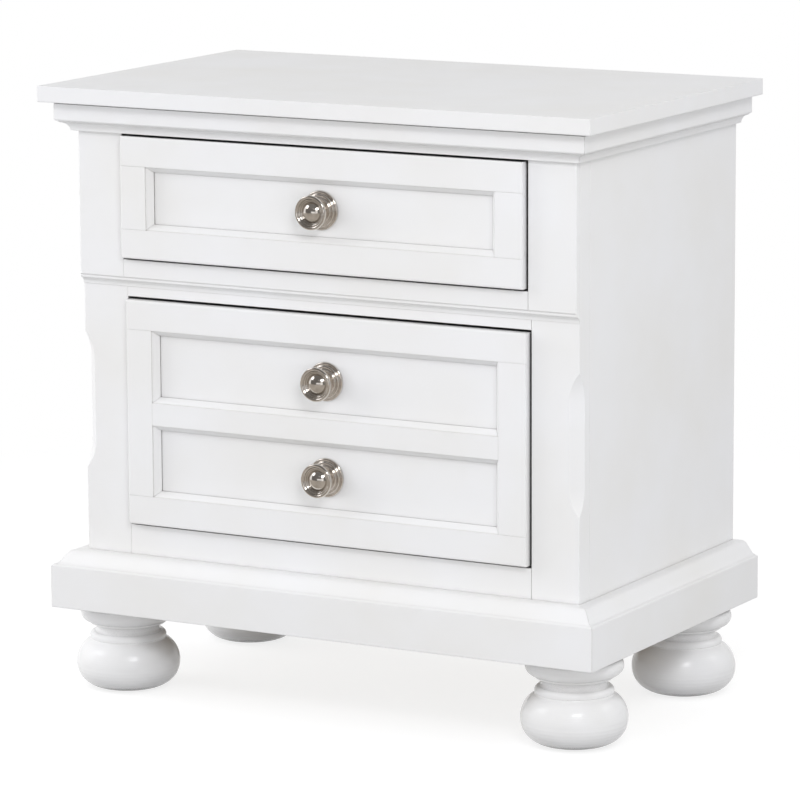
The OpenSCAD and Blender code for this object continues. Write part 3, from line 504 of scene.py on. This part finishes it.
def frontScrews(drawer, levels):
    # on the inner face of the box front: a bolt behind each knob and four screws into the frame
    low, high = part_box(drawer + "_box_front")
    knobNode = next(node for node in frame["nodes"] if node.startswith(drawer + "_knob"))
    knobLow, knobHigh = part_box(knobNode)
    oneLow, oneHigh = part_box("upper_knob")
    plate = (oneHigh.z - oneLow.z) / 2  # from the drawer with a single knob
    heights = sorted({round(knobLow.z + plate, 5), round(knobHigh.z - plate, 5)})
    body = bodyOf(drawer + "_box_front")
    screwHeads(drawer + "_knob_bolts", [(0, high.y, z) for z in heights], (0, 1, 0),
               screws["boltHead"], body)
    spread = high.x * screws["frontSpread"]
    spots = [(x, high.y, low.z + (high.z - low.z) * part) for x in (-spread, spread) for part in levels]
    screwHeads(drawer + "_front_screws", spots, (0, 1, 0), screws["frontHead"], body)


def slideScrews(drawer):
    # three in each drawer member, driven from the channel into the side of the box
    low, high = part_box(drawer + "_drawer_slides")
    middleZ = (low.z + high.z) / 2
    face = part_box(drawer + "_box_right")[1].x + screws["slideSheet"]
    for side, x in (("left", -face), ("right", face)):
        spots = [(x, low.y + (high.y - low.y) * part, middleZ) for part in (0.1, 0.52, 0.93)]
        screwHeads(f"{drawer}_slide_screws_{side}", spots, (x, 0, 0), screws["slideHead"],
                   bodyOf(drawer + "_drawer_slides"))


def backScrews():
    # flat heads around the edge of the back panel, set in by half the thickness of the sides
    low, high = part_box("back_panel")
    inset, topInset = screws["backInset"], screws["backTopInset"]
    levels = np.linspace(low.z + topInset, high.z - topInset, 6)
    spots = [(x, high.y, z) for x in (low.x + inset, high.x - inset) for z in levels]
    across = np.linspace(low.x + inset, high.x - inset, 6)[1:-1]
    spots += [(x, high.y, high.z - topInset) for x in across]
    screwHeads("back_screws", spots, (0, 1, 0), screws["backHead"], "case")


def blockScrews():
    # two up through each corner block, clear of the foot
    low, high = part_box("corner_blocks")
    size = screws["blockSize"]
    spots = []
    for x in (-1, 1):
        for y in (low.y, high.y - size):
            spots += [(x * (high.x - size + screws["blockInset"]), y + size * part, low.z)
                      for part in (0.15, 0.85)]
    screwHeads("block_screws", spots, (0, 0, -1), screws["blockHead"], "case")


frontScrews("upper", (0.3, 0.75))
frontScrews("lower", (0.2, 0.82))
slideScrews("upper")
slideScrews("lower")
backScrews()
blockScrews()
print("screws driven")


knobs = {
    "around": 120,
    "headShare": 0.875,        # radius of the head over the radius of the plate
    "domeIn": 0.0073,          # metres from the rim's outside to the edge of the dome
    "domeRise": 0.0061,
    "domeSet": 0.0002,         # metres the tip stays inside the reach of the knob
}


def knobProfile(plate, reach):
    # Radius and distance from the panel, in metres, along the turned outline from the panel to
    # the tip: each arc is its middle, its radius and its two angles in degrees. Three ridges on
    # the plate, a waisted neck, three ridges on the head and a dome.
    rim = plate * knobs["headShare"]
    mm = 0.001
    dome, rise = rim - knobs["domeIn"], knobs["domeRise"]
    ball = (dome ** 2 + rise ** 2) / (2 * rise)
    arcs = (
        (plate - 1.7 * mm, 0.9 * mm, 1.7 * mm, -30, 125, 12),
        (plate - 5.4 * mm, 2.6 * mm, 1.7 * mm, -10, 125, 12),
        (plate - 9.0 * mm, 4.3 * mm, 1.5 * mm, -10, 120, 12),
        (plate - 10.8 * mm, 10.6 * mm, 5.6 * mm, 262, 186, 14),
        (plate - 12.2 * mm, reach - 10.0 * mm, 4.4 * mm, 176, 122, 10),
        (rim - 2.0 * mm, reach - 3.6 * mm, 2.0 * mm, -100, 142, 24),
        (rim - 4.9 * mm, reach - 5.2 * mm, 1.4 * mm, 38, 142, 14),
        (rim - 6.6 * mm, reach - 6.3 * mm, 0.9 * mm, 45, 138, 12),
        (0, reach - knobs["domeSet"] - ball, ball, math.degrees(math.acos(dome / ball)), 88, 20),
    )
    angles = [np.radians(np.linspace(start, end, count)) for _, _, _, start, end, count in arcs]
    across = np.concatenate([r + size * np.cos(a) for (r, _, size, *_), a in zip(arcs, angles)])
    away = np.concatenate([t + size * np.sin(a) for (_, t, size, *_), a in zip(arcs, angles)])
    return across, away


def turnedKnobs(node, count):
    # the profile turned about the knob's axis, which points out of the drawer front
    low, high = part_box(node)
    plate, reach = (high.x - low.x) / 2, high.y - low.y
    across, away = (line[::-1] for line in knobProfile(plate, reach))
    turn = np.arange(knobs["around"]) * 2 * np.pi / knobs["around"]
    rows = np.stack((across[:, None] * np.cos(turn), across[:, None] * np.sin(turn),
                     away[:, None] * np.ones_like(turn)), 2).reshape(-1, 3)
    local = np.vstack(([[0, 0, away[0]]], rows, [[0, 0, 0]]))
    local[:, 2] = np.clip(local[:, 2], 0, reach)
    places = [((low.x + high.x) / 2, high.y, z) for z in np.linspace(low.z + plate, high.z - plate, count)]
    piece = placedCopies(node + "_turned", local, polarFaces(len(across), knobs["around"]), places,
                         (0, -1, 0), finishes["knob_nickel"], bodyOf(node))
    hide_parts(node)


turnedKnobs("upper_knob", 1)
turnedKnobs("lower_knobs", 2)
print("knobs turned")


studio = {
    "floorSize": 60.0,
    "floorDrop": 0.0003,       # metres the floor lies under the feet
    "floorTone": "#BDBDBD",    # what the floor bounces back on to the furniture
    "shadowShare": 0.3,        # part of the near floor's look that takes shadows
    "floorGlow": 0.8,          # and the glow that lifts it to white
    "clearReach": 0.75,        # metres from the middle to where the floor starts to fade to white
    "clearEnd": 1.6,
    "worldFill": 0.565,
    "distance": 3.2,
    "cool": (0.972, 0.978, 1.0),   # colour of all lamps
    "lamps": {                 # azimuth from the front, elevation, width, height, watts
        "leftSoftbox": (-56, 32, 1.1, 1.0, 10.0),
        "frontSoftbox": (38, 31, 0.9, 0.6, 23.8),
        "sideSoftbox": (116, 33, 0.8, 0.7, 4.2),
        "lowLeftPanel": (-28, 3, 2.0, 0.5, 12.4),
        "lowRightPanel": (44, 3, 2.0, 0.5, 13.5),
        "leftPanel": (-75, 12, 2.0, 1.4, 35.0),
        "rightPanel": (85, 12, 2.0, 1.4, 9.5),
    },
}


def seenPlainly(tree):
    # 1 for rays that should meet the white backdrop: camera, glossy and transmission
    path = addNode(tree, "ShaderNodeLightPath")
    cameraOrGloss = addNode(tree, "ShaderNodeMath", {"operation": "MAXIMUM"}, {
        0: (path, "Is Camera Ray"), 1: (path, "Is Glossy Ray")})
    return addNode(tree, "ShaderNodeMath", {"operation": "MAXIMUM"}, {
        0: (cameraOrGloss, "Value"), 1: (path, "Is Transmission Ray")})


def flatPiece(name, width, height):
    # a rectangle about its own middle that faces up
    across, along = width / 2, height / 2
    mesh = bpy.data.meshes.new(name)
    mesh.from_pydata([(-across, -along, 0), (across, -along, 0), (across, along, 0), (-across, along, 0)],
                     [], [(0, 1, 2, 3)])
    piece = bpy.data.objects.new(name, mesh)
    bpy.context.scene.collection.objects.link(piece)
    return piece


def makeFloor():
    # plain and diffuse for the light on the furniture, white with a soft shadow where it is seen
    floor = flatPiece("studio_floor", studio["floorSize"], studio["floorSize"])
    floor.location.z = -studio["floorDrop"]
    material, tree, output = newMaterial("pale_floor")
    place = addNode(tree, "ShaderNodeTexCoord")
    reach = addNode(tree, "ShaderNodeVectorMath", {"operation": "LENGTH"}, {0: (place, "Object")})
    fade = addNode(tree, "ShaderNodeMapRange", links={
        0: (reach, "Value"), 1: studio["clearReach"], 2: studio["clearEnd"], 3: 0.0, 4: 1.0})
    lit = addNode(tree, "ShaderNodeBsdfDiffuse", links={"Color": (studio["shadowShare"],) * 3 + (1,)})
    lift = addNode(tree, "ShaderNodeEmission", links={
        "Color": (1, 1, 1, 1), "Strength": studio["floorGlow"]})
    near = addNode(tree, "ShaderNodeAddShader", links={0: (lit, "BSDF"), 1: (lift, "Emission")})
    white = addNode(tree, "ShaderNodeEmission", links={"Color": (1, 1, 1, 1), "Strength": 1.0})
    shown = addNode(tree, "ShaderNodeMixShader", links={
        0: (fade, "Result"), 1: (near, "Shader"), 2: (white, "Emission")})
    plain = addNode(tree, "ShaderNodeBsdfDiffuse", links={"Color": linearColour(studio["floorTone"])})
    both = addNode(tree, "ShaderNodeMixShader", links={
        0: (seenPlainly(tree), "Value"), 1: (plain, "BSDF"), 2: (shown, "Shader")})
    tree.links.new(both.outputs["Shader"], output.inputs["Surface"])
    floor.data.materials.append(material)


def makeWorld():
    world = bpy.data.worlds.new("studio_world")
    bpy.context.scene.world = world
    world.use_nodes = True
    tree = world.node_tree
    tree.nodes.clear()
    fill = addNode(tree, "ShaderNodeBackground", links={
        "Color": (1, 1, 1, 1), "Strength": studio["worldFill"]})
    white = addNode(tree, "ShaderNodeBackground", links={"Color": (1, 1, 1, 1), "Strength": 1.0})
    both = addNode(tree, "ShaderNodeMixShader", links={
        0: (seenPlainly(tree), "Value"), 1: (fill, "Background"), 2: (white, "Background")})
    output = addNode(tree, "ShaderNodeOutputWorld")
    tree.links.new(both.outputs["Shader"], output.inputs["Surface"])


def makeLamps():
    for name, (azimuth, elevation, width, height, watts) in studio["lamps"].items():
        lamp = bpy.data.lights.new(name, "AREA")
        lamp.shape = "RECTANGLE"
        lamp.size = width
        lamp.size_y = height
        lamp.energy = watts
        lamp.color = studio["cool"]
        turn, rise = math.radians(azimuth), math.radians(elevation)
        level = math.cos(rise)
        towards = Vector((math.sin(turn) * level, -math.cos(turn) * level, math.sin(rise)))
        softbox = bpy.data.objects.new(name, lamp)
        softbox.location = middle + towards * studio["distance"]
        softbox.rotation_euler = (-towards).to_track_quat("-Z", "Y").to_euler()
        softbox.visible_camera = False
        softbox.visible_glossy = not name.endswith("Panel")
        bpy.context.scene.collection.objects.link(softbox)


cards = {                      # what the polished knobs mirror: place, facing, width, height, tone
    "darkWall": ((-1.2, -3.8, 1.3), (0.3, 0.95, 0), 7.5, 2.9, "#726F6D"),
    "rightWall": ((3.6, -1.4, 1.3), (-1, 0.1, 0), 4.4, 2.9, "#7A7774"),
    "darkCeiling": ((0, -1.5, 2.7), (0, 0, -1), 6.5, 5.0, "#7A7876"),
    "warmFloor": ((0, -2.0, 0.002), (0, 0, 1), 7.0, 3.4, "#B4AEA6"),
    "brightPanel": ((0.45, -3.2, 0.62), (-0.12, 0.99, 0), 1.9, 0.6, "#FFFFFF"),
}


def makeCards():
    # flat cards around the set that only glossy rays meet
    for name, (place, facing, width, height, tone) in cards.items():
        card = flatPiece(name, width, height)
        card.location = place
        card.rotation_euler = Vector(facing).to_track_quat("Z", "Y").to_euler()
        material, tree, output = newMaterial(name + "_card")
        glow = addNode(tree, "ShaderNodeEmission", links={"Color": linearColour(tone), "Strength": 1.0})
        tree.links.new(glow.outputs["Emission"], output.inputs["Surface"])
        card.data.materials.append(material)
        for ray in ("camera", "diffuse", "shadow", "transmission", "volume_scatter"):
            setattr(card, "visible_" + ray, False)


cameraSet = {
    "lens": 212.9,
    "sensor": 36.0,
    "place": (2.6685, -4.7885, 1.3377),
    "yaw": 29.163,
    "pitch": -10.232,
    "roll": -0.28,
}


def makeCamera():
    data = bpy.data.cameras.new("studio_camera")
    data.lens = cameraSet["lens"]
    data.sensor_width = cameraSet["sensor"]
    data.clip_end = 100.0
    camera = bpy.data.objects.new("studio_camera", data)
    turn = (Matrix.Rotation(math.radians(cameraSet["yaw"]), 4, "Z")
            @ Matrix.Rotation(math.radians(90 + cameraSet["pitch"]), 4, "X")
            @ Matrix.Rotation(math.radians(cameraSet["roll"]), 4, "Z"))
    camera.matrix_world = Matrix.Translation(cameraSet["place"]) @ turn
    bpy.context.scene.collection.objects.link(camera)
    bpy.context.scene.camera = camera


makeFloor()
makeWorld()
makeLamps()
makeCards()
makeCamera()
bpy.context.scene.view_settings.view_transform = "Standard"
print("studio made")
